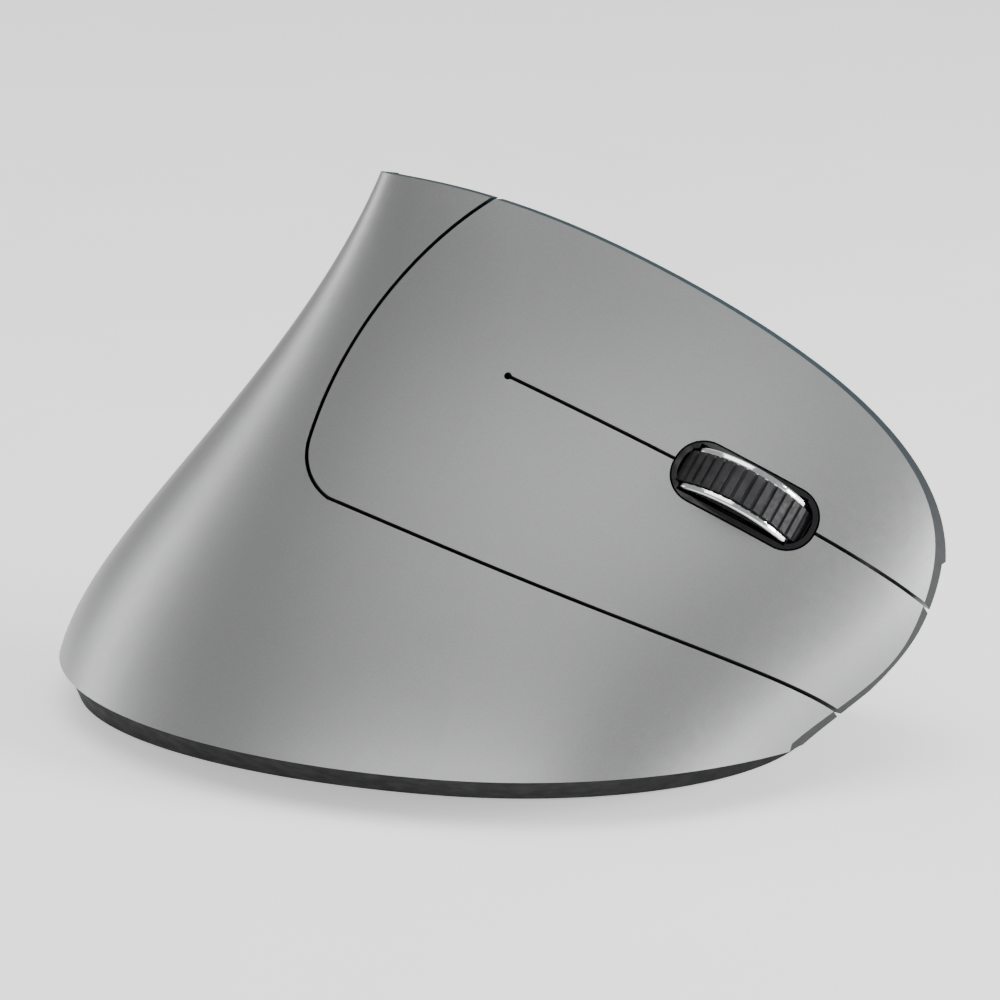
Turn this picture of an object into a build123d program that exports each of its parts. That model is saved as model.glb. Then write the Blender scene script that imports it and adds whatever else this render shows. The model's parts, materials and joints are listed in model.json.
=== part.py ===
from build123d import *
import math
import os

# Wireless vertical computer mouse for the right hand, in millimetres.
# +Y is the front (wheel end), +X the finger side, -X the thumb side, +Z up.
# The desk is at z = 0 and the origin is under the middle of the outer box.

# ---------------------------------------------------------------- driving sizes
ORIGIN_Y = -0.28         # y of the outer box's middle, before everything is shifted there
FOOT = 0.6               # height of the glide feet
LIP = 6.6                # height of the lower edge of the covers
TOP = 78.0               # height up to which the outer surfaces are built
FAR = 75.0               # half size of the trimming solids
FLARE = 30.0             # how far their unused sides spread
WALL = 2.4               # wall of the covers, measured level (2 mm square to it)
THUMB_WALL = 2.2         # wall of the black shell, measured level
BASE_WALL = 2.0
SEAM = 0.5              # width of the gaps between neighbouring covers
FIT = 0.05               # radial clearance of a running fit

# Finger side: height, farthest x, then front arc (centre x, half length),
# y of the widest place, and rear arc (centre x, y of the rear end).
FINGER_LEVELS = [
    (LIP, 31.2, -24.0, 57.0, 0.0, -12.0, -61.4),
    (20.0, 20.0, -20.0, 66.0, 2.0, -13.5, -54.4),
    (34.0, 9.6, -21.0, 70.0, 3.0, -15.0, -43.5),
    (48.0, -0.4, -25.0, 68.0, 3.0, -17.0, -32.7),
    (62.0, -9.0, -29.0, 63.0, 2.0, -19.0, -23.6),
    (TOP, -18.0, -34.0, 54.0, 0.0, -23.0, -16.8),
]
# Thumb side at the same heights: farthest x, then front arc (centre x, half length).
THUMB_LEVELS = [
    (-31.2, -14.0, 51.0),
    (-24.5, -12.0, 60.0),
    (-20.8, -10.0, 66.0),
    (-20.6, -12.0, 70.0),
    (-23.0, -17.0, 73.0),
    (-29.5, -22.0, 75.0),
]

# Upper and front edge of the finger face, from the rear of the crest, round the
# nose and back under it.
EDGE = [
    (-20.0, -20.5, 72.8),
    (-14.2, -0.3, 71.1),
    (-11.3, 19.5, 64.6),
    (-7.9, 43.5, 52.0),
    (-3.9, 56.8, 38.6),
    (-0.9, 59.3, 29.2),
    (2.3, 57.0, 20.1),
    (6.0, 51.0, 12.9),
    (11.5, 43.6, 7.4),
]
NOSE_CUT = [(-3.6, 28.0), (-0.2, 19.6), (3.4, 12.4), (9.4, 6.0)]   # x and z, where the cover ends under it
NOSE_CUT_Y = 30.0
CAP_LEAN = (0.09, -0.3)      # how the covers' edge leans, in y and z per mm of -x
CAP_SPREAD = [0.12, 0.12, 0.13, 0.15, 0.2, 0.25, 0.28, 0.3, 0.3]   # and how far it opens outwards
BODY_LEAN = (-0.2, -0.3)   # how the black body falls away behind that edge
RIDGE_STEP = 1.2             # step from the covers' edge down to the black body
SIDE_SEAM_X = -15.0          # seam between silver cover and black shell, at the lip
SIDE_SEAM_LEAN = 0.106       # and how far it leans to the thumb side per mm of height

# Key plane: origin where the wheel's middle meets the surface, x along the slit
# towards the front, y up the face, z out of the face.
KEY_ORIGIN = (3.3, 35.4, 38.2)
KEY_FORWARD = Vector(0.042, 0.9, -0.433).normalized()
KEY_NORMAL = Vector(0.816, 0.219, 0.535)
key_out = (KEY_NORMAL - KEY_FORWARD * KEY_NORMAL.dot(KEY_FORWARD)).normalized()
key_plane = Plane(origin=KEY_ORIGIN, x_dir=KEY_FORWARD, z_dir=key_out)
# Seam round the key plate in that plane: rear curve and lower curve.
KEY_SEAM_REAR = [(-44.5, 26.0), (-54.6, 5.0), (-54.5, -18.0)]
KEY_SEAM_LOWER = [(-48.0, -24.5), (-8.0, -22.4), (29.0, -16.2)]
KEY_ROOM = 1.3           # level gap under the keys for their travel
SLIT = 0.5              # width of the slit between the keys
SLIT_END = -34.9         # round end of the slit
SLIT_DOT = 0.5          # and its radius
HINGE_LINE = -36.5       # line across the plate at which the keys bend
HINGE_GAP = 0.004

# Wheel, lying in the key plane's x and z directions, with its axle along y.
WHEEL_RADIUS = 10.5
WHEEL_DEPTH = 6.9        # axle below the surface
TYRE_WIDTH = 4.4
RIM_WIDTH = 1.0
RIM_RADIUS = 10.1
AXLE_RADIUS = 1.0
RIB_COUNT = 44
RIB_HEIGHT = 0.35
SURROUND_OUTSIDE = (20.2, 8.4, 3.9)     # length, width, corner radius
SURROUND_INSIDE = (18.8, 7.0, 3.2)
SURROUND_GAP = 0.25

# Electronics that follow the key plane.
BOARD_TOP = -12.6
BOARD = 1.2              # thickness of every circuit board
SWITCH_U = 11.4          # key switches along the key plane's x
SWITCH_V = 9.2           # and either side of the slit
SWITCH_HEIGHT = 6.5
PLUNGER = 0.7
BOSS_GAP = 0.12
TACT_HEIGHT = 2.4        # small push switches of the thumb controls
TACT_PLUNGER = 0.5

# Thumb controls: plane of their board, x to the rear, y up, z out of the side.
THUMB_TILT = 18.0
thumb_rear = Vector(0, -math.cos(math.radians(THUMB_TILT)), math.sin(math.radians(THUMB_TILT)))
thumb_plane = Plane(origin=(-14.0, 3.0, 49.6), x_dir=thumb_rear, z_dir=(-1, 0, 0))
# name, place along and up, length, width
THUMB_CONTROLS = [
    ("back", 9.6, 0.0, 17.0, 7.4),
    ("forward", -9.6, 0.0, 17.0, 7.4),
    ("dpi", 0.0, 8.6, 7.0, 4.6),
]
BUTTON_PROUD = 0.7
BUTTON_GAP = 0.25
FLANGE = 0.9             # how far a control's flange reaches behind the wall

# Base: x of the middle that its four elliptical quarters share.
BASE_MIDDLE_X = -12.0
BAY_X = (-17.0, 5.6)     # battery bay
BAY_Y = (-43.0, 8.0)
BAY_TOP = 13.4
BAY_WALL = 1.2
CELL_RADIUS = 5.25       # AAA cell
CELL_LENGTH = 44.5
CELL_Z = 7.9
CELL_X = (-11.4, 0.0)
DOOR = 1.6               # thickness of the battery door
SOCKET = (10.9, -11.0)   # x and y of the upright receiver's middle
MAIN_BOARD_Z = 6.5
SENSOR = (-3.0, 25.0)
POWER = (9.8, 20.0)
POWER_TRAVEL = 2.4
BASE_SCREWS = [(-19.5, 22.0), (-21.5, -20.0), (16.5, 4.0), (10.0, -36.5)]
BOARD_SCREWS = [(-12.5, 14.5), (-12.5, 33.5), (4.5, 34.0), (7.5, 13.5)]
FRAME_POSTS = [(1.2, 10.0), (-16.6, -10.6), (14.6, -4.2)]


# ---------------------------------------------------------------- helpers
def arc(centre, x_radius, y_radius, start, end):
    return EllipticalCenterArc(centre, x_radius, y_radius, start, arc_size=end - start)


def box(x, y, z):
    """Box from three (low, high) pairs."""
    solid = Box(x[1] - x[0], y[1] - y[0], z[1] - z[0])
    return Pos((x[0] + x[1]) / 2, (y[0] + y[1]) / 2, (z[0] + z[1]) / 2) * solid


def rod(x, y, z, radius):
    """Upright cylinder at x, y between the two heights of z."""
    return Pos(x, y, (z[0] + z[1]) / 2) * Cylinder(radius, z[1] - z[0])


def rounded(size, grow, z):
    """Upright prism of a rounded rectangle given as length, width and radius."""
    length, width, radius = size
    outline = RectangleRounded(length + 2 * grow, width + 2 * grow, radius + grow)
    return Pos(0, 0, z[0]) * extrude(outline, amount=z[1] - z[0])


def stadium(length, width, z):
    """Upright prism with round ends, along x, between the two heights of z."""
    return Pos(0, 0, z[0]) * extrude(SlotOverall(length, width), amount=z[1] - z[0])


def on_keys(shape):
    """Place a shape that was drawn in the key plane's own axes."""
    return key_plane.location * shape


def on_thumb(shape):
    """Place a shape that was drawn in the thumb board's own axes."""
    return thumb_plane.location * shape


def group(shapes):
    """One node made of several separate solids."""
    return Compound(children=[solid for shape in shapes for solid in shape.solids()])


# ---------------------------------------------------------------- outer surfaces
def finger_face(level, inset, flare):
    """Level slice of everything inside the finger surface, flared beyond its rear end."""
    z, x_max, front_x, front, y_mid, rear_x, rear_y = level
    x_edge = x_max - inset
    front_half = front - inset
    rear_half = y_mid - rear_y - inset
    y_front = y_mid + front_half
    y_rear = y_mid - rear_half
    edges = [
        arc((rear_x, y_mid), x_edge - rear_x, rear_half, -90, 0),
        arc((front_x, y_mid), x_edge - front_x, front_half, 0, 90),
        Line((front_x, y_front), (-FAR, y_front)),
        Line((-FAR, y_front), (-FAR, y_rear - flare)),
        Line((-FAR, y_rear - flare), (rear_x, y_rear)),
    ]
    return Pos(0, 0, z) * make_face(edges)


def thumb_face(level, thumb, inset):
    """Level slice of everything inside the thumb surface, flared beyond its rear end."""
    z, _, _, _, y_mid, rear_x, rear_y = level
    x_thumb, front_x, front = thumb
    x_edge = x_thumb + inset
    front_half = front - inset
    rear_half = y_mid - rear_y - inset
    y_front = y_mid + front_half
    y_rear = y_mid - rear_half
    edges = [
        arc((front_x, y_mid), front_x - x_edge, front_half, 90, 180),
        arc((rear_x, y_mid), rear_x - x_edge, rear_half, 180, 270),
        Line((rear_x, y_rear), (FAR, y_rear - FLARE)),
        Line((FAR, y_rear - FLARE), (FAR, y_front)),
        Line((FAR, y_front), (front_x, y_front)),
    ]
    return Pos(0, 0, z) * make_face(edges)


def finger_solid(inset, flare=0.0):
    return loft([finger_face(level, inset, flare) for level in FINGER_LEVELS])


def thumb_solid(inset):
    pairs = zip(FINGER_LEVELS, THUMB_LEVELS)
    return loft([thumb_face(level, thumb, inset) for level, thumb in pairs])


def moved_in(points, inset):
    """The same points, each moved to the right of the way they run."""
    moved = []
    for index, point in enumerate(points):
        before = Vector(points[max(index - 1, 0)])
        after = Vector(points[min(index + 1, len(points) - 1)])
        along = (after - before).normalized()
        moved.append((point[0] + along.Y * inset, point[1] - along.X * inset))
    return moved


def edge_section(lean, spread, inset, x):
    """Outline of the edge solid at one x: each edge point runs along its own line."""
    flat = [(point[1], point[2]) for point in EDGE]
    inner = moved_in([(y + lean[0] * p[0], z + lean[1] * p[0]) for p, (y, z) in zip(EDGE, flat)], 1.0)
    points = []
    for (px, y, z), (in_y, in_z), opening in zip(EDGE, inner, spread):
        towards = (in_y - y - lean[0] * px, in_z - z - lean[1] * px)
        depth = px - x
        points.append((
            y + lean[0] * depth + towards[0] * (inset - opening * depth),
            z + lean[1] * depth + towards[1] * (inset - opening * depth),
        ))
    start, end = points[0], points[-1]
    rest = Polyline(end, (end[0] - 20, -FAR), (-FAR, -FAR), (-FAR, start[1]), start)
    section_plane = Plane(origin=(x, 0, 0), x_dir=(0, 1, 0), z_dir=(1, 0, 0))
    return section_plane * make_face([Spline(*points), rest])


def edge_prism(lean, inset, spread=(0,) * len(EDGE)):
    """Everything behind the edge curve, whose wall leans back along -x."""
    return loft([edge_section(lean, spread, inset, x) for x in (36.0, -46.0)], ruled=True)


def finger_half(gap):
    """Half space on the finger side of the seam between the two colours."""
    def seam_x(z):
        return SIDE_SEAM_X - (z - LIP) * SIDE_SEAM_LEAN + gap
    low, high = -FAR, FAR + TOP
    outline = Polyline((seam_x(low), low), (FAR, low), (FAR, high), (seam_x(high), high), close=True)
    half = extrude(Plane.XZ * make_face(outline), amount=FAR, both=True)
    points = [(x + gap, z + gap) for x, z in NOSE_CUT]
    closing = [(points[-1][0], -FAR), (-FAR, -FAR), (-FAR, points[0][1])]
    under_nose = extrude(Plane.XZ * make_face(Polyline(*points, *closing, close=True)), amount=-FAR)
    return half - (under_nose & box((-FAR, FAR), (NOSE_CUT_Y, FAR), (-FAR, FAR)))


def key_region(gap):
    """Prism through the whole key plate, square to the key plane."""
    lower = ThreePointArc(*KEY_SEAM_LOWER)
    rear = ThreePointArc(*KEY_SEAM_REAR)
    corner = TangentArc(rear @ 1, lower @ 0, tangent=rear % 1)
    rest = Polyline(lower @ 1, (FAR, (lower @ 1).Y), (FAR, FAR), ((rear @ 0).X, FAR), rear @ 0)
    face = offset(make_face([rear, corner, lower, rest]), gap)
    return on_keys(extrude(face, amount=FAR, both=True))


def base_face(z, x_max, x_min, y_front, y_rear, y_mid, inset):
    """Level slice of the base: four elliptical quarters about one middle."""
    right = x_max - BASE_MIDDLE_X - inset
    left = BASE_MIDDLE_X - x_min - inset
    front = y_front - y_mid - inset
    rear = y_mid - y_rear - inset
    middle = (BASE_MIDDLE_X, y_mid)
    edges = [
        arc(middle, right, front, 0, 90),
        arc(middle, left, front, 90, 180),
        arc(middle, left, rear, 180, 270),
        arc(middle, right, rear, 270, 360),
    ]
    return Pos(0, 0, z) * make_face(edges)


def base_bottom(z, inset=0.0):
    return base_face(z, 21.8, -26.0, 42.6, -59.2, -2.0, inset)


def base_top(z, inset=0.0):
    return base_face(z, 30.6, -30.6, 44.0, -60.7, 0.0, inset)


outer = finger_solid(0, FLARE) & thumb_solid(0)
finger_inner = finger_solid(WALL)
cap = (outer - finger_inner) & edge_prism(CAP_LEAN, 0, CAP_SPREAD) & finger_half(SEAM / 2)
body = outer & edge_prism(BODY_LEAN, RIDGE_STEP)
body = body - (finger_half(-SEAM / 2) - finger_inner)
body = body - (key_region(0.3) - finger_solid(WALL + KEY_ROOM))
cavity = thumb_solid(THUMB_WALL) & edge_prism(BODY_LEAN, RIDGE_STEP + THUMB_WALL)

nodes = {}


# ---------------------------------------------------------------- silver covers
def cover_posts():
    """Screw posts under the finger cover, with pilot holes."""
    posts = [rod(x, y, (4.6, 40), 2.8) for x, y in BASE_SCREWS[2:]]
    holes = [rod(x, y, (4.6, 12), 1.1) for x, y in BASE_SCREWS[2:]]
    reach = finger_solid(WALL / 2) + box((-FAR, FAR), (-FAR, FAR), (0, LIP))
    return (posts[0] + posts[1]) & reach, holes[0] + holes[1]


posts, pilots = cover_posts()
nodes["finger_cover"] = (cap - key_region(SEAM / 2) + posts) - pilots

# The key plate is one moulding: a root that stays put and two keys, parted by
# the slit, that bend at a thin line across the end of the slit.
slit = box((SLIT_END, FAR), (-SLIT / 2, SLIT / 2), (-FAR, FAR)) + rod(SLIT_END, 0, (-FAR, FAR), SLIT_DOT)
hole = rounded(SURROUND_OUTSIDE, SURROUND_GAP, (-FAR, FAR))
key_blank = (cap & key_region(-SEAM / 2)) - on_keys(slit + hole)
ALL = (-FAR, FAR)
root_side = on_keys(box((-FAR, HINGE_LINE - HINGE_GAP / 2), ALL, ALL))


def key(v_range, switch_v):
    """One key with the boss that works its switch."""
    side = on_keys(box((HINGE_LINE + HINGE_GAP / 2, FAR), v_range, ALL))
    boss_end = BOARD_TOP + SWITCH_HEIGHT + PLUNGER + BOSS_GAP
    boss = on_keys(rod(SWITCH_U, switch_v, (boss_end, 4), 1.5))
    return (key_blank & side) + (boss & finger_solid(WALL / 2))


nodes["key_plate"] = key_blank & root_side
nodes["primary_key"] = key((0, FAR), SWITCH_V)
nodes["secondary_key"] = key((-FAR, 0), -SWITCH_V)


# ---------------------------------------------------------------- black shell and thumb controls
def thumb_prism(along, up, length, width, grow=0.0):
    """Outline of a thumb control as a prism through the wall."""
    return on_thumb(Pos(along, up, 0) * stadium(length + 2 * grow, width + 2 * grow, (0.5, 20)))


def thumb_post(along, up):
    """Post of the shell that the thumb board is screwed to."""
    return on_thumb(rod(along, up, (0, 20), 1.6)) & body


THUMB_POSTS = [(0.0, -5.6), (19.0, -5.6), (-20.4, -2.0)]
thumb_shell = body - cavity
for x, y in BASE_SCREWS[:2]:
    post = rod(x, y, (LIP, 40), 2.8) & body
    thumb_shell += post + rod(x, y, (4.6, LIP), 2.8)
    thumb_shell -= rod(x, y, (4.6, 12), 1.1)
for along, up in THUMB_POSTS:
    thumb_shell += thumb_post(along, up)
    thumb_shell -= on_thumb(rod(along, up, (0, 3.2), 0.75))

cap_shell = thumb_solid(-BUTTON_PROUD) - thumb_solid(THUMB_WALL + 0.85)
flange_shell = thumb_solid(THUMB_WALL + 0.15) - thumb_solid(THUMB_WALL + 0.85)
for name, along, up, length, width in THUMB_CONTROLS:
    thumb_shell -= thumb_prism(along, up, length, width, BUTTON_GAP)
    button = thumb_prism(along, up, length, width) & cap_shell
    button += thumb_prism(along, up, length, width, FLANGE) & flange_shell
    stem = on_thumb(rod(along, up, (TACT_HEIGHT + TACT_PLUNGER + 0.1, 5.5), 1.2))
    nodes[name + "_button"] = button + (stem & thumb_solid(THUMB_WALL / 2))
    tact = box((along - 2.6, along + 2.6), (up - 2.6, up + 2.6), (0, TACT_HEIGHT))
    nodes[name + "_switch"] = on_thumb(tact - rod(along, up, (0.6, TACT_HEIGHT), 1.5 + FIT))
    nodes[name + "_plunger"] = on_thumb(rod(along, up, (1.2, TACT_HEIGHT + TACT_PLUNGER), 1.5))

nodes["thumb_shell"] = thumb_shell
thumb_board = box((-22.2, 20.9), (-7.2, 4.0), (-BOARD, 0)) + box((-4.5, 4.5), (4.0, 11.6), (-BOARD, 0))
for along, up in THUMB_POSTS:
    thumb_board -= rod(along, up, (-BOARD, 0), 0.9)
nodes["thumb_board"] = on_thumb(thumb_board)


def small_screw(head_radius, head, shank_radius, length):
    """Pan head screw that points down, with its head resting on z = 0."""
    top = rod(0, 0, (0, head), head_radius)
    cross = box((-head_radius * 0.6, head_radius * 0.6), (-0.2, 0.2), (head * 0.4, head))
    cross += Rot(0, 0, 90) * cross
    return top - cross + rod(0, 0, (-length, 0), shank_radius)


board_screw = small_screw(1.4, 0.9, 0.7, 4.0)

thumb_screw = Rot(180, 0, 0) * board_screw
small_screws = [on_thumb(Pos(along, up, -BOARD) * thumb_screw) for along, up in THUMB_POSTS]

# ---------------------------------------------------------------- base
base = loft([base_bottom(FOOT), base_top(LIP)], ruled=True)
hollow = loft([base_bottom(FOOT + BASE_WALL, BASE_WALL), base_top(LIP, BASE_WALL)], ruled=True)
base -= hollow
inside = finger_solid(WALL + 0.1) + box(ALL, ALL, (0, LIP))
bay = box(BAY_X, BAY_Y, (FOOT, BAY_TOP))
bay_block = box(
    (BAY_X[0] - BAY_WALL, BAY_X[1] + BAY_WALL),
    (BAY_Y[0] - BAY_WALL, BAY_Y[1] + BAY_WALL),
    (FOOT + BASE_WALL, BAY_TOP + BAY_WALL),
)
RECEIVER_CAP = (6.1, 14.4, (0.8, 7.3))     # x, y, and heights of the receiver's grip
RECEIVER_PLUG = (4.5, 12.0, (7.3, 18.9))   # the same for its plug


def block(middle, x, y, z, grow=0.0):
    """Box about a middle point, grown sideways."""
    half_x = x / 2 + grow
    half_y = y / 2 + grow
    return box((middle[0] - half_x, middle[0] + half_x), (middle[1] - half_y, middle[1] + half_y), z)


CAP_X, CAP_Y, CAP_Z = RECEIVER_CAP
PLUG_X, PLUG_Y, PLUG_Z = RECEIVER_PLUG
socket = block(SOCKET, CAP_X, CAP_Y, (FOOT, CAP_Z[1] + 0.1), 0.15)
socket += block(SOCKET, PLUG_X, PLUG_Y, (FOOT, PLUG_Z[1] + 0.5), 0.12)
socket_walls = block(SOCKET, CAP_X, CAP_Y, (FOOT + 1, CAP_Z[1] + 1.2), BAY_WALL)
socket_walls += block(SOCKET, PLUG_X, PLUG_Y, (FOOT + 1, PLUG_Z[1] + 1.4), BAY_WALL)
base = base + ((bay_block + socket_walls) & inside)
for x, y in BOARD_SCREWS:
    base += rod(x, y, (FOOT + 1, MAIN_BOARD_Z), 2.3)
for x, y in BASE_SCREWS:
    base += rod(x, y, (FOOT + 1, 4.6), 3.2) & loft([base_bottom(FOOT, 0.2), base_top(LIP, 0.2)], ruled=True)
base = base - bay - socket
for x, y in BOARD_SCREWS:
    base -= rod(x, y, (3.0, MAIN_BOARD_Z), 0.95)
for x, y in BASE_SCREWS:
    base -= rod(x, y, (FOOT, 4.6), 1.3)
    base -= rod(x, y, (FOOT, FOOT + 1.3), 2.5)
door_recess = box((BAY_X[0] - 0.9, BAY_X[1] + 0.9), (BAY_Y[0] - 0.9, BAY_Y[1] + 0.9), (FOOT, FOOT + DOOR))
base -= door_recess
sensor_hole = Pos(SENSOR[0], SENSOR[1], FOOT) * extrude(RectangleRounded(10, 8, 2), amount=BASE_WALL)
base -= sensor_hole
power_slot = Pos(POWER[0], POWER[1] + POWER_TRAVEL / 2, FOOT) * extrude(
    RectangleRounded(3.4, 3.4 + POWER_TRAVEL + 0.6, 0.3), amount=BASE_WALL
)
nodes["base_shell"] = base - power_slot

# Battery door: a plate in its recess, with a grip of four grooves and a latch.
door = box((BAY_X[0] - 0.75, BAY_X[1] + 0.75), (BAY_Y[0] - 0.75, BAY_Y[1] + 0.75), (FOOT, FOOT + DOOR - 0.05))
bay_middle = (BAY_X[0] + BAY_X[1]) / 2
for row in range(4):
    y = BAY_Y[1] - 6 - 1.6 * row
    door -= box((bay_middle - 5, bay_middle + 5), (y - 0.4, y + 0.4), (FOOT, FOOT + 0.4))
latch_y = (BAY_Y[1] - 1.3, BAY_Y[1] - 0.3)
door += box((bay_middle - 1.2, bay_middle + 1.2), latch_y, (FOOT + 0.5, 6.2))
nodes["battery_door"] = door


# ---------------------------------------------------------------- batteries
def cell(x, turn):
    """AAA cell along y with its nub at the front, or turned end for end."""
    can = Rot(-90, 0, 0) * Pos(0, 0, -0.5) * Cylinder(CELL_RADIUS, CELL_LENGTH - 1)
    nub = Rot(-90, 0, 0) * Pos(0, 0, CELL_LENGTH / 2 - 0.5) * Cylinder(1.9, 1)
    middle = (BAY_Y[0] + BAY_Y[1]) / 2
    return Pos(x, middle, CELL_Z) * Rot(0, 0, turn) * (can + nub)


def contact(x, turn):
    """Flat contact at a cell's nub and spring contact at its other end."""
    half = (BAY_Y[1] - BAY_Y[0]) / 2
    plate = box((-4, 4), (CELL_LENGTH / 2 + 0.1, CELL_LENGTH / 2 + 0.5), (-4, 4))
    arm = box((-1.5, 1.5), (CELL_LENGTH / 2 + 0.5, half), (-4, -3.4))
    backing = box((-4, 4), (-half + 0.05, -half + 0.45), (-4, 4))
    pitch = (half - 0.5 - CELL_LENGTH / 2 - 0.6) / 2.4
    path = Helix(pitch, pitch * 2.4, 2.6)
    profile = Plane(origin=path @ 0, z_dir=path % 0) * Circle(0.25)
    coil = Rot(90, 0, 0) * sweep(profile, path=path)
    coil = Pos(0, -CELL_LENGTH / 2 - 0.28, 0) * coil
    place = Pos(x, (BAY_Y[0] + BAY_Y[1]) / 2, CELL_Z) * Rot(0, 0, turn)
    return place * (plate + arm), place * backing, place * coil


nodes["battery_cell_left"] = cell(CELL_X[0], 0)
nodes["battery_cell_right"] = cell(CELL_X[1], 180)
left = contact(CELL_X[0], 0)
right = contact(CELL_X[1], 180)
nodes["battery_contacts"] = group([left[0], left[1], right[0], right[1]])
nodes["battery_springs"] = group([left[2], right[2]])

# ---------------------------------------------------------------- receiver
grip = Pos(SOCKET[0], SOCKET[1], CAP_Z[0]) * extrude(RectangleRounded(CAP_X, CAP_Y, 1.2), CAP_Z[1] - CAP_Z[0])
grip -= block(SOCKET, 1.0, 8.0, (CAP_Z[0], CAP_Z[0] + 0.5))
nodes["receiver_grip"] = grip
shell = block(SOCKET, PLUG_X, PLUG_Y, PLUG_Z)
shell -= block(SOCKET, PLUG_X - 0.6, PLUG_Y - 0.6, (PLUG_Z[0] + 0.6, PLUG_Z[1]))
for side in (-2.5, 2.5):
    window = block((SOCKET[0] + PLUG_X / 2, SOCKET[1] + side), 2.0, 2.2, (14.6, 16.6))
    shell -= window
nodes["receiver_plug"] = shell
tongue = (SOCKET[0] - 0.8, SOCKET[1])
nodes["receiver_tongue"] = block(tongue, 1.7, PLUG_Y - 0.9, (PLUG_Z[0] + 0.6, PLUG_Z[1] - 0.4))

# ---------------------------------------------------------------- main board
board = box((-15.5, 15.0), (11.0, 27.0), (MAIN_BOARD_Z, MAIN_BOARD_Z + BOARD))
board += box((-15.5, 8.0), (26.0, 37.0), (MAIN_BOARD_Z, MAIN_BOARD_Z + BOARD))
board -= block(SENSOR, 6, 6, (MAIN_BOARD_Z, MAIN_BOARD_Z + BOARD))
for x, y in BOARD_SCREWS:
    board -= rod(x, y, (MAIN_BOARD_Z, MAIN_BOARD_Z + BOARD), 1.1)
nodes["main_board"] = board
board_top = MAIN_BOARD_Z + BOARD
nodes["board_screws"] = group(
    [Pos(x, y, board_top) * small_screw(1.8, 1.2, 0.9, 4.2) for x, y in BOARD_SCREWS]
)
nodes["sensor_chip"] = block(SENSOR, 9.8, 12.0, (board_top, board_top + 2.6))
lens = Pos(SENSOR[0], SENSOR[1], 5.3) * extrude(RectangleRounded(13, 11, 1), amount=1.1)
lens += Pos(SENSOR[0], SENSOR[1], 5.3) * (Sphere(2.4) & box((-3, 3), (-3, 3), (-3, 0)))
nodes["sensor_lens"] = lens
controller = block((-11.6, 21.0), 5.0, 5.0, (board_top, board_top + 0.9))
nodes["controller_chip"] = controller
nodes["radio_chip"] = block((8.5, 23.5), 4.0, 4.0, (board_top, board_top + 0.8))
crystal = Pos(8.5, 19.0, board_top) * extrude(RectangleRounded(5.0, 2.4, 1.1), amount=1.6)
nodes["crystal"] = crystal
capacitors = [block((-12.6 + 2.2 * n, 27.5), 1.2, 0.8, (board_top, board_top + 0.7)) for n in range(2)]
capacitors += [block((3.6, 13.4 + 2.0 * n), 1.2, 0.8, (board_top, board_top + 0.7)) for n in range(3)]
capacitors += [rod(-7.0, 13.6, (board_top, board_top + 5.4), 2.0)]
nodes["capacitors"] = group(capacitors)
nodes["sensor_led"] = rod(SENSOR[0] + 7.5, SENSOR[1] + 4.0, (board_top, board_top + 3.0), 1.5)

# Power switch under the board, with its slider through the slot in the base.
switch = block((POWER[0], POWER[1] + POWER_TRAVEL / 2), 3.6, 8.6, (4.2, MAIN_BOARD_Z))
groove = block((POWER[0], POWER[1] + POWER_TRAVEL / 2), 1.5, 1.7 + POWER_TRAVEL + 0.4, (4.2, 5.0))
nodes["power_switch"] = switch - groove
slider = block(POWER, 2.8, 3.2, (FOOT + 0.3, 2.75))
slider += block(POWER, 4.6, 7.4, (2.75, 3.55))
slider += block(POWER, 1.2, 1.5, (3.55, 4.8))
for row in (-1, 0, 1):
    slider -= block((POWER[0], POWER[1] + row), 2.8, 0.4, (FOOT + 0.3, FOOT + 0.6))
nodes["power_slider"] = slider

# ---------------------------------------------------------------- glide feet and base screws
foot_ring = extrude(base_bottom(0, 1.6) - base_bottom(0, 6.8), amount=FOOT)
FEET = {
    "glide_foot_front": box(ALL, (30.0, FAR), ALL),
    "glide_foot_rear": box(ALL, (-FAR, -45.5), ALL),
    "glide_foot_finger": box((0, FAR), (-4.0, 12.0), ALL),
    "glide_foot_thumb": box((-FAR, -20), (-13.0, 6.0), ALL),
}
for name, sector in FEET.items():
    nodes[name] = foot_ring & sector
base_screw = Rot(180, 0, 0) * small_screw(2.3, 0.9, 1.08, 9.0)
nodes["base_screws"] = group([Pos(x, y, FOOT + 1.3) * base_screw for x, y in BASE_SCREWS])

# ---------------------------------------------------------------- wheel
AXLE = Pos(0, 0, -WHEEL_DEPTH) * Rot(90, 0, 0)


def disc(radius, width, v=0.0):
    """Disc about the wheel's axle, in key plane axes, centred at v."""
    return Pos(0, v, 0) * AXLE * Cylinder(radius, width)


def tyre_outline():
    """Ribbed outline of the tyre: one flat-topped rib per step."""
    step = 2 * math.pi / RIB_COUNT
    points = []
    for rib in range(RIB_COUNT):
        for part, radius in ((0, -1), (0.1, 0), (0.68, 0), (0.78, -1)):
            angle = (rib + part) * step
            reach = WHEEL_RADIUS + radius * RIB_HEIGHT
            points.append((reach * math.cos(angle), reach * math.sin(angle)))
    return make_face(Polyline(*points, close=True))


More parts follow.
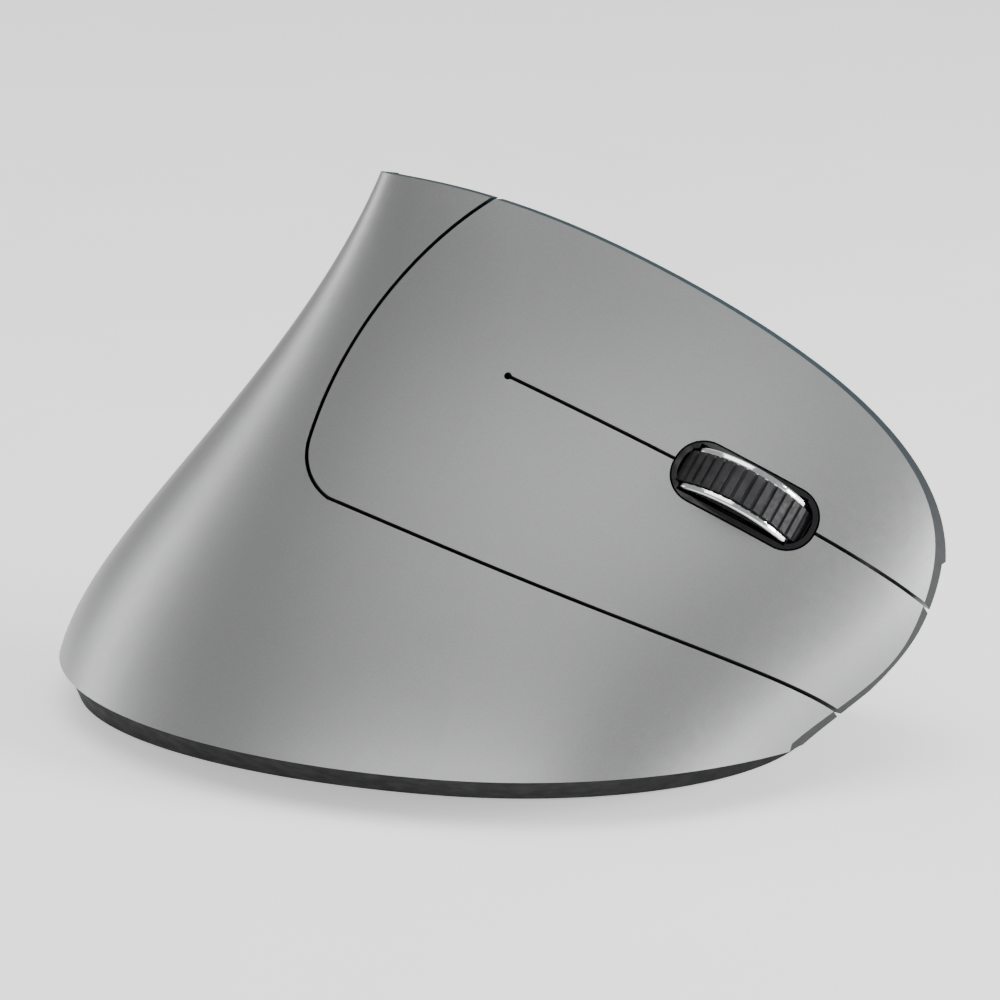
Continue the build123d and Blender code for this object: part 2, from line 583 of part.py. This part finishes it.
RIM_V = (TYRE_WIDTH + RIM_WIDTH) / 2
HUB_RADIUS = 8.4
tyre = Pos(0, 0, -WHEEL_DEPTH) * Rot(90, 0, 0) * extrude(tyre_outline(), amount=TYRE_WIDTH / 2, both=True)
nodes["wheel_tyre"] = on_keys(tyre - disc(HUB_RADIUS, TYRE_WIDTH))
hub = disc(HUB_RADIUS, TYRE_WIDTH) + disc(HUB_RADIUS - 1.4, TYRE_WIDTH + 2 * RIM_WIDTH)
hub -= disc(AXLE_RADIUS, FAR)
HUB_HOLES = 5
for spoke in range(HUB_HOLES):
    turn = Pos(0, 0, -WHEEL_DEPTH) * Rot(0, 360 * spoke / HUB_HOLES, 0) * Pos(0, 0, WHEEL_DEPTH)
    hub -= turn * Pos(4.3, 0, 0) * disc(1.5, FAR)
nodes["wheel_hub"] = on_keys(hub)
for name, side in (("upper", 1), ("lower", -1)):
    rim = disc(RIM_RADIUS, RIM_WIDTH, side * RIM_V) - disc(HUB_RADIUS - 1.4, RIM_WIDTH, side * RIM_V)
    nodes["wheel_rim_" + name] = on_keys(fillet(rim.edges().filter_by(GeomType.CIRCLE).sort_by(
        SortBy.LENGTH)[-2:], 0.35))
nodes["wheel_axle"] = on_keys(disc(AXLE_RADIUS, 15.6, -1.6))

# Cradle: two cheeks that hold the axle, a bar behind the wheel, and a lug that
# works the middle switch.
CHEEK = (5.3, 6.3)
cradle = box((-14.0, -12.7), (-CHEEK[1], CHEEK[1]), (-11.6, -7.2))
for side in (1, -1):
    v_range = sorted((side * CHEEK[0], side * CHEEK[1]))
    cradle += box((-14.0, 0), v_range, (-11.6, -6.6))
    cradle += disc(2.9, CHEEK[1] - CHEEK[0], side * (CHEEK[0] + CHEEK[1]) / 2)
cradle += box((-11.6, -7.6), (-12.0, -CHEEK[0]), (-8.5, -7.3))
nodes["wheel_cradle"] = on_keys(cradle - disc(AXLE_RADIUS + FIT, FAR))
encoder = box((-3.4, 3.4), (-12.0, -6.4), (-11.8, -5.4))
encoder = fillet(encoder.edges().filter_by(Axis.Y).group_by(Axis.Z)[-1], 1.2)
nodes["wheel_encoder"] = on_keys(encoder - disc(AXLE_RADIUS + FIT, FAR))
spring_path = Helix(0.75, 2.0, 1.2)
spring = sweep(Plane(origin=spring_path @ 0, z_dir=spring_path % 0) * Circle(0.15), path=spring_path)
nodes["cradle_spring"] = on_keys(Pos(-13.4, 0, -13.8 + 0.15) * spring)

# Surround of the wheel: a ring flush with the keys, on a frame with two legs.
RING_LOW = -3.4
FRAME_LOW = -4.3
FRAME_V = SURROUND_OUTSIDE[1] / 2
wheel_room = disc(WHEEL_RADIUS + 0.3, TYRE_WIDTH + 0.6) + disc(RIM_RADIUS + 0.2, SURROUND_INSIDE[1])
ring = on_keys(rounded(SURROUND_OUTSIDE, 0, (FRAME_LOW, 4)) - rounded(SURROUND_INSIDE, 0, ALL)) & outer
frame = box((-12.8, 12.4), (-FRAME_V, FRAME_V), (FRAME_LOW, RING_LOW))
frame += box((11.4, 12.4), (-2.0, 2.0), (BOARD_TOP, RING_LOW))
frame += box((-16.4, -12.0), (-2.0, 2.0), (-5.2, -4.2)) + box((-16.4, -15.3), (-2.0, 2.0), (BOARD_TOP, -4.6))
frame -= rounded(SURROUND_INSIDE, 0, (RING_LOW - 0.01, 4))
nodes["wheel_surround"] = (ring + on_keys(frame)) - on_keys(wheel_room)

# ---------------------------------------------------------------- key board and its frame
BOARD_LOW = BOARD_TOP - BOARD
FRAME_PLATE = 1.5


def key_plate_layer(z, opening_u, opening_v):
    """Layer under the wheel: a lower strip, a shorter upper strip and two bridges."""
    layer = box((-19.5, 16.6), (-13.4, 2.0), z) + box((-1.6, 16.6), (0.0, 12.4), z)
    return layer - box(opening_u, (-opening_v, opening_v), ALL)


key_board = key_plate_layer((BOARD_LOW, BOARD_TOP), (-14.9, 12.8), 6.9)
frame_plate = key_plate_layer((BOARD_LOW - FRAME_PLATE, BOARD_LOW), (-12.9, 12.8), 6.0)
for u, v in FRAME_POSTS:
    key_board -= rod(u, v, ALL, 0.9)
    frame_plate += rod(u, v, (-FAR, BOARD_LOW - FRAME_PLATE), 2.4)
    frame_plate -= rod(u, v, (BOARD_LOW - 4.0, BOARD_LOW), 0.75)
nodes["key_board"] = on_keys(key_board)
nodes["key_frame"] = on_keys(frame_plate) & cavity & box(ALL, ALL, (LIP + 3.0, TOP))
small_screws += [on_keys(Pos(u, v, BOARD_TOP) * board_screw) for u, v in FRAME_POSTS]
nodes["small_board_screws"] = group(small_screws)


def micro_switch(v):
    """Snap switch on the key board, and the plunger that a key presses."""
    low = BOARD_TOP
    high = BOARD_TOP + SWITCH_HEIGHT
    case = box((SWITCH_U - 7.6, SWITCH_U + 4.0), (v - 2.8, v + 2.8), (low, high))
    case -= box((SWITCH_U - 7.6, SWITCH_U + 4.0), (v - 2.8, v - 2.6), (high - 2.6, high - 2.3))
    plunger = box((SWITCH_U - 0.7, SWITCH_U + 0.7), (v - 1.4, v + 1.4), (high - 1.6, high + PLUNGER))
    well = box((SWITCH_U - 0.75, SWITCH_U + 0.75), (v - 1.45, v + 1.45), (high - 2.4, high))
    return on_keys(case - well), on_keys(plunger)


nodes["primary_switch"], nodes["primary_plunger"] = micro_switch(SWITCH_V)
nodes["secondary_switch"], nodes["secondary_plunger"] = micro_switch(-SWITCH_V)
MIDDLE = (-9.6, -9.6)
middle_case = block(MIDDLE, 5.2, 5.2, (BOARD_TOP, BOARD_TOP + 3.4)) - rod(*MIDDLE, (-11.6, 0), 1.5 + FIT)
nodes["middle_switch"] = on_keys(middle_case)
nodes["middle_plunger"] = on_keys(rod(*MIDDLE, (-10.8, -8.6), 1.5))

# Flat cable from the main board up to the key board.
CABLE = 0.4
CABLE_Y = 14.8
CABLE_POINTS = [(-1.5, 9.2), (1.6, 15.0), (0.4, 21.5)]
cable_curve = Spline(*CABLE_POINTS, tangents=[(0, 1), (0, 1)])
cable_back = Spline(*[(x + CABLE, z) for x, z in CABLE_POINTS], tangents=[(0, 1), (0, 1)])
strip = make_face([
    cable_curve,
    Line(cable_curve @ 1, cable_back @ 1),
    cable_back,
    Line(cable_back @ 0, cable_curve @ 0),
])
nodes["flat_cable"] = Pos(0, CABLE_Y, 0) * extrude(Plane.XZ * strip, amount=3.5, both=True)
foot = CABLE_POINTS[0][0] + CABLE / 2
nodes["cable_connector"] = block((foot, CABLE_Y), 2.4, 8.4, (board_top, CABLE_POINTS[0][1]))

# ---------------------------------------------------------------- files
os.makedirs("parts", exist_ok=True)
shift = Pos(0, -ORIGIN_Y, 0)
for name, shape in nodes.items():
    solids = [shift * solid for solid in shape.solids()]
    whole = solids[0] if len(solids) == 1 else Compound(children=solids)
    export_step(whole, f"parts/{name}.step")
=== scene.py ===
import bpy
import json
import math
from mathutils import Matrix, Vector


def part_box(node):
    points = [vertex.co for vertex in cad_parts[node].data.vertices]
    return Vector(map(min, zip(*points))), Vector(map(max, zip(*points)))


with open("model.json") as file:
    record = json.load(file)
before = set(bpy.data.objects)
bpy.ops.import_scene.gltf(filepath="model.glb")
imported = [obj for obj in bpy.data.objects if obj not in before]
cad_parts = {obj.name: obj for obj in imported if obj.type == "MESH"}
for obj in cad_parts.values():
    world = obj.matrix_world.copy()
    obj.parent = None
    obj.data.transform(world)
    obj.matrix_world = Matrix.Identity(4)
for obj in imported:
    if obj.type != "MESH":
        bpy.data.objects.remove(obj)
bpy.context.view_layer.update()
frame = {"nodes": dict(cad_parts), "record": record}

MM = 0.001

# ---------------------------------------------------------------- node helpers


class Finish:
    """A procedural material that is built up node by node."""

    def __init__(self, name):
        self.material = bpy.data.materials.new(name)
        self.material.use_nodes = True
        self.tree = self.material.node_tree
        self.shader = self.tree.nodes["Principled BSDF"]
        self.coordinates = self.add("ShaderNodeTexCoord").outputs["Object"]

    def add(self, kind, **settings):
        node = self.tree.nodes.new(kind)
        for key, value in settings.items():
            setattr(node, key, value)
        return node

    def link(self, output, socket):
        self.tree.links.new(output, socket)

    def set(self, **values):
        """Constant values on the shader's own sockets, with _ for a space."""
        for key, value in values.items():
            self.shader.inputs[key.replace("_", " ")].default_value = value

    def noise(self, scale, detail=3.0, roughness=0.5, stretch=(1, 1, 1)):
        """Noise with about `scale` spots per metre."""
        mapping = self.add("ShaderNodeMapping")
        mapping.inputs["Scale"].default_value = stretch
        self.link(self.coordinates, mapping.inputs["Vector"])
        node = self.add("ShaderNodeTexNoise")
        node.inputs["Scale"].default_value = scale
        node.inputs["Detail"].default_value = detail
        node.inputs["Roughness"].default_value = roughness
        self.link(mapping.outputs["Vector"], node.inputs["Vector"])
        return node.outputs["Fac"]

    def cells(self, scale):
        """Distance to the nearest of about `scale` cell middles per metre."""
        node = self.add("ShaderNodeTexVoronoi", feature="F1")
        node.inputs["Scale"].default_value = scale
        self.link(self.coordinates, node.inputs["Vector"])
        return node.outputs["Distance"]

    def spread(self, value, low, high, start=0.3, end=0.7):
        """Value between start and end mapped to low and high."""
        node = self.add("ShaderNodeMapRange", interpolation_type="SMOOTHSTEP")
        node.inputs["From Min"].default_value = start
        node.inputs["From Max"].default_value = end
        node.inputs["To Min"].default_value = low
        node.inputs["To Max"].default_value = high
        self.link(value, node.inputs["Value"])
        return node.outputs["Result"]

    def mix(self, factor, first, second):
        """Colour mix. first and second are colours or outputs."""
        node = self.add("ShaderNodeMix", data_type="RGBA")
        for socket, value in ((node.inputs[6], first), (node.inputs[7], second)):
            if isinstance(value, tuple):
                socket.default_value = (*value, 1.0)
            else:
                self.link(value, socket)
        self.link(factor, node.inputs[0])
        return node.outputs[2]

    def maths(self, operation, first, second):
        node = self.add("ShaderNodeMath", operation=operation)
        for socket, value in ((node.inputs[0], first), (node.inputs[1], second)):
            if isinstance(value, (int, float)):
                socket.default_value = value
            else:
                self.link(value, socket)
        return node.outputs["Value"]

    def axis(self, name):
        """One object coordinate, in metres."""
        node = self.add("ShaderNodeSeparateXYZ")
        self.link(self.coordinates, node.inputs["Vector"])
        return node.outputs[name]

    def tones(self, scale, detail, dark, light):
        """Base colour that wanders between two close tones."""
        self.colour(self.mix(self.spread(self.noise(scale, detail), 0, 1), dark, light))

    def colour(self, output):
        self.link(output, self.shader.inputs["Base Color"])

    def roughness(self, output):
        self.link(output, self.shader.inputs["Roughness"])

    def bump(self, height, strength, distance=0.02 * MM):
        node = self.add("ShaderNodeBump")
        node.inputs["Strength"].default_value = strength
        node.inputs["Distance"].default_value = distance
        self.link(height, node.inputs["Height"])
        self.link(node.outputs["Normal"], self.shader.inputs["Normal"])


def moulded(name, dark, light, rough=(0.4, 0.55), grain=2600, depth=0.35, specular=0.4):
    """Moulded plastic: two close tones, uneven gloss and a fine spark-eroded grain."""
    finish = Finish(name)
    finish.tones(140, 4, dark, light)
    finish.roughness(finish.spread(finish.noise(420, 3), rough[0], rough[1]))
    finish.bump(finish.noise(grain, 2, 0.6), depth)
    finish.set(Specular_IOR_Level=specular)
    return finish


def metal(name, dark, light, rough=(0.2, 0.35), brush=(1, 1, 1), grain=900, depth=0.15):
    """Bare or plated metal with fine marks along one direction."""
    finish = Finish(name)
    marks = finish.noise(grain, 4, 0.6, brush)
    finish.colour(finish.mix(finish.spread(marks, 0, 1), dark, light))
    finish.roughness(finish.spread(marks, rough[0], rough[1]))
    finish.bump(marks, depth)
    finish.set(Metallic=1.0)
    return finish


# ---------------------------------------------------------------- silver covers
EDGE_LEAN = Vector((-1.0, 0.167, -0.27)).normalized()   # way in which the cut edge runs back
EDGE_FACING = (-0.42, -0.36)     # how much a face looks along it: painted below, cut edge above
INSIDE_FACING = (0.5, 0.6)       # and the covers' inner faces above this
EDGE_START_Y = (-21 * MM, -17 * MM)   # the dark cut edge, unpainted plastic and painted shade, begins in front of this
TEAL_REFLECTION_Z = (30 * MM, 60 * MM)     # the edge turns from grey to a painted teal reflection between these heights


def silver_paint():
    """Satin metallic paint outside, unpainted dark plastic on the cut edge and inside; on the cut edge that
    dark tone is also painted shade, turning to a painted teal reflection higher up.
    """
    finish = Finish("silver_cover")
    flakes = finish.cells(5200)
    cloud = finish.noise(60, 3)
    paint = finish.mix(finish.spread(flakes, 0, 1, 0.1, 0.7), (0.255, 0.257, 0.258), (0.285, 0.287, 0.288))
    paint = finish.mix(finish.spread(cloud, 0, 0.12), paint, (0.24, 0.243, 0.245))
    teal_reflection = finish.spread(finish.axis("Z"), 0, 1, *TEAL_REFLECTION_Z)
    # Dark grey edge colour, its darkness partly painted shade, turning to a painted teal reflection higher
    # up.
    plastic = finish.mix(teal_reflection, (0.022, 0.023, 0.024), (0.020, 0.040, 0.048))
    plastic = finish.mix(finish.spread(finish.noise(900, 2), 0, 0.5), plastic, (0.016, 0.019, 0.021))
    geometry = finish.add("ShaderNodeNewGeometry")
    facing = finish.add("ShaderNodeVectorMath", operation="DOT_PRODUCT")
    facing.inputs[1].default_value = EDGE_LEAN
    finish.link(geometry.outputs["True Normal"], facing.inputs[0])
    edge = finish.spread(facing.outputs["Value"], 0, 1, *EDGE_FACING)
    forward = finish.spread(finish.axis("Y"), 0, 1, *EDGE_START_Y)
    inside = finish.spread(facing.outputs["Value"], 0, 1, *INSIDE_FACING)
    # Faces of the cut edge that look along EDGE_LEAN take the dark edge colour: unpainted plastic, darkened
    # as painted shade. The inner faces are unpainted plastic.
    bare_plastic_and_painted_shade = finish.maths("MAXIMUM", finish.maths("MULTIPLY", edge, forward), inside)
    finish.colour(finish.mix(bare_plastic_and_painted_shade, paint, plastic))
    finish.link(finish.spread(bare_plastic_and_painted_shade, 0.82, 0.0, 0.0, 1.0), finish.shader.inputs["Metallic"])
    finish.link(finish.spread(bare_plastic_and_painted_shade, 0.5, 0.12, 0.0, 1.0), finish.shader.inputs["Specular IOR Level"])
    painted_gloss = finish.spread(finish.noise(900, 2), 0.375, 0.395)
    finish.roughness(finish.maths("ADD", painted_gloss, finish.maths("MULTIPLY", bare_plastic_and_painted_shade, 0.12)))
    finish.bump(finish.noise(3800, 2), 0.03)
    return finish


# ---------------------------------------------------------------- other finishes
def wheel_rubber():
    """Tyre: matt rubber in two close tones with a fine grain."""
    finish = Finish("wheel_rubber")
    finish.tones(500, 4, (0.010, 0.010, 0.011), (0.022, 0.022, 0.024))
    finish.roughness(finish.spread(finish.noise(1500, 2), 0.55, 0.75))
    finish.bump(finish.noise(5000, 3), 0.5)
    finish.set(Specular_IOR_Level=0.3)
    return finish


def circuit_board():
    """Green solder mask over copper tracks, with plated pads."""
    finish = Finish("circuit_board")
    tracks = finish.add("ShaderNodeTexBrick", offset=0.37, squash=0.6, squash_frequency=3)
    tracks.inputs["Scale"].default_value = 260
    tracks.inputs["Mortar Size"].default_value = 0.06
    tracks.inputs["Color1"].default_value = (0.012, 0.10, 0.045, 1)
    tracks.inputs["Color2"].default_value = (0.015, 0.12, 0.05, 1)
    tracks.inputs["Mortar"].default_value = (0.03, 0.20, 0.08, 1)
    finish.link(finish.coordinates, tracks.inputs["Vector"])
    pads = finish.spread(finish.cells(330), 1, 0, 0.16, 0.2)
    finish.colour(finish.mix(pads, tracks.outputs["Color"], (0.55, 0.50, 0.36)))
    finish.link(finish.spread(pads, 0.0, 0.9, 0, 1), finish.shader.inputs["Metallic"])
    finish.roughness(finish.spread(finish.noise(600), 0.25, 0.4))
    finish.bump(tracks.outputs["Fac"], 0.3)
    return finish


def battery_can():
    """Printed sleeve of a dry cell: dark with one light band and bare steel at its ends."""
    finish = Finish("battery_can")
    along = finish.axis("Y")
    low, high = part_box("battery_cell_left")
    band = finish.spread(along, 0, 1, low.y + 30 * MM, low.y + 30.4 * MM)
    sleeve = finish.mix(band, (0.020, 0.022, 0.026), (0.55, 0.43, 0.16))
    sleeve = finish.mix(finish.spread(finish.noise(250), 0, 0.3), sleeve, (0.10, 0.10, 0.11))
    ends = finish.maths("MAXIMUM", finish.spread(along, 1, 0, low.y + 1.2 * MM, low.y + 1.4 * MM),
                        finish.spread(along, 0, 1, high.y - 1.4 * MM, high.y - 1.2 * MM))
    finish.colour(finish.mix(ends, sleeve, (0.60, 0.60, 0.58)))
    finish.link(finish.spread(ends, 0.2, 1.0, 0, 1), finish.shader.inputs["Metallic"])
    finish.roughness(finish.spread(finish.noise(900), 0.22, 0.34))
    finish.bump(finish.noise(700, 2), 0.05)
    return finish


def clear_lens():
    """Clear moulded plastic."""
    finish = Finish("clear_lens")
    finish.tones(200, 3, (0.85, 0.88, 0.90), (0.93, 0.95, 0.96))
    finish.roughness(finish.spread(finish.noise(800), 0.03, 0.09))
    finish.bump(finish.noise(900), 0.03)
    finish.set(IOR=1.5, Transmission_Weight=0.9)
    return finish


def red_led():
    """Tinted clear case of the sensor's lamp."""
    finish = moulded("red_led", (0.35, 0.015, 0.01), (0.5, 0.03, 0.02), (0.08, 0.15), 700, 0.05, 0.5)
    finish.set(Transmission_Weight=0.5)
    return finish


# Dark tone, light tone, then whatever differs from the defaults of moulded().
MOULDED = {
    "black_shell": ((0.0125, 0.013, 0.014), (0.0175, 0.018, 0.019), {"rough": (0.40, 0.52)}),
    "black_base": ((0.007, 0.007, 0.008), (0.010, 0.010, 0.011), {"rough": (0.50, 0.60), "specular": 0.05}),
    "side_button": (
        (0.030, 0.032, 0.034),
        (0.040, 0.042, 0.044),
        {"rough": (0.36, 0.46), "grain": 3200, "depth": 0.2},
    ),
    "gloss_black": (
        (0.004, 0.004, 0.005),
        (0.007, 0.007, 0.008),
        {"rough": (0.06, 0.14), "grain": 900, "depth": 0.03, "specular": 0.5},
    ),
    "inner_black": ((0.012, 0.012, 0.013), (0.020, 0.020, 0.022), {}),
    "inner_white": ((0.60, 0.60, 0.57), (0.70, 0.70, 0.67), {"rough": (0.35, 0.5)}),
    "inner_green": ((0.04, 0.20, 0.09), (0.06, 0.26, 0.12), {"rough": (0.35, 0.5)}),
    "switch_case": ((0.012, 0.012, 0.014), (0.022, 0.022, 0.024), {"rough": (0.3, 0.45)}),
    "switch_plunger": ((0.62, 0.60, 0.54), (0.70, 0.68, 0.62), {"rough": (0.25, 0.35)}),
    "flat_cable": ((0.42, 0.20, 0.03), (0.55, 0.28, 0.05), {"rough": (0.2, 0.3), "grain": 600, "depth": 0.1}),
    "chip": ((0.009, 0.009, 0.010), (0.016, 0.016, 0.017), {"grain": 4000, "depth": 0.3}),
    "slider_orange": ((0.55, 0.11, 0.01), (0.65, 0.15, 0.02), {"rough": (0.35, 0.45)}),
    "glide_foot": (
        (0.10, 0.10, 0.11),
        (0.13, 0.13, 0.14),
        {"rough": (0.25, 0.35), "grain": 1800, "depth": 0.1, "specular": 0.5},
    ),
}
# The same for metal().
METALS = {
    "wheel_chrome": (
        (0.78, 0.79, 0.81),
        (0.86, 0.87, 0.88),
        {"rough": (0.07, 0.13), "grain": 1400, "depth": 0.03},
    ),
    "steel": ((0.42, 0.42, 0.43), (0.60, 0.60, 0.61), {"rough": (0.22, 0.36)}),
    "contact_metal": ((0.58, 0.57, 0.54), (0.70, 0.69, 0.66), {"rough": (0.18, 0.3), "brush": (1, 6, 1)}),
}
SPECIAL = {
    "silver_cover": silver_paint,
    "wheel_rubber": wheel_rubber,
    "circuit_board": circuit_board,
    "clear_lens": clear_lens,
    "red_led": red_led,
    "battery_can": battery_can,
}


def finish_for(slot):
    """The finish of one material slot of the record."""
    if slot in SPECIAL:
        return SPECIAL[slot]()
    if slot in METALS:
        dark, light, options = METALS[slot]
        return metal(slot, dark, light, **options)
    dark, light, options = MOULDED[slot]
    return moulded(slot, dark, light, **options)


materials = {}
for entry in frame["record"]["subparts"]:
    slot = entry["material_slot"]
    if slot not in materials:
        materials[slot] = finish_for(slot).material
    node = frame["nodes"][entry["node"]]
    for index in range(len(node.material_slots)):
        node.material_slots[index].material = materials[slot]

# ---------------------------------------------------------------- floor, light and camera
FLOOR_SIZE = 12          # metres
FLOOR_GLOW = 0.6
WORLD_GLOW = 0.42

floor_finish = Finish("floor")
floor_finish.tones(3, 3, (0.90, 0.90, 0.90), (0.92, 0.92, 0.92))
floor_finish.roughness(floor_finish.spread(floor_finish.noise(40), 0.5, 0.6))
floor_finish.set(Emission_Color=(1, 1, 1, 1), Emission_Strength=FLOOR_GLOW)
bpy.ops.mesh.primitive_plane_add(size=FLOOR_SIZE)
floor = bpy.context.object
floor.name = "floor"
floor.data.materials.append(floor_finish.material)

world = bpy.data.worlds.new("studio")
bpy.context.scene.world = world
world.use_nodes = True
world.node_tree.nodes["Background"].inputs["Color"].default_value = (1, 1, 1, 1)
world.node_tree.nodes["Background"].inputs["Strength"].default_value = WORLD_GLOW

TARGET = Vector((0.5, 2.68, 34.4)) * MM      # middle of the picture


def direction_to(azimuth, elevation):
    """Unit vector. Azimuth from +X towards +Y, both angles in degrees."""
    turn = math.radians(azimuth)
    rise = math.radians(elevation)
    return Vector((math.cos(rise) * math.cos(turn), math.cos(rise) * math.sin(turn), math.sin(rise)))


def aim(item, azimuth, elevation, distance):
    """Put a light or the camera at a distance from TARGET, looking at it."""
    direction = direction_to(azimuth, elevation)
    item.location = TARGET + direction * distance
    item.rotation_euler = direction.to_track_quat("Z", "Y").to_euler()
    bpy.context.collection.objects.link(item)


def area_light(name, azimuth, elevation, distance, width, height, power):
    """Soft box aimed at the object: sizes in metres, power in watts."""
    light = bpy.data.lights.new(name, "AREA")
    light.shape = "RECTANGLE"
    light.size = width
    light.size_y = height
    light.energy = power
    aim(bpy.data.objects.new(name, light), azimuth, elevation, distance)


area_light("rear_strip", -104, 12, 0.8, 0.10, 0.5, 1.8)
area_light("top_box", -20, 80, 0.9, 0.8, 0.8, 7)
area_light("front_box", 84, 14, 0.8, 0.4, 0.4, 13)

AZIMUTH = 12
ELEVATION = 18
DISTANCE = 600 * MM
VIEW_WIDTH = 131.6 * MM
SENSOR_WIDTH = 36
camera = bpy.data.objects.new("camera", bpy.data.cameras.new("camera"))
camera.data.sensor_width = SENSOR_WIDTH
camera.data.lens = SENSOR_WIDTH * DISTANCE / VIEW_WIDTH
aim(camera, AZIMUTH, ELEVATION, DISTANCE)
bpy.context.scene.camera = camera
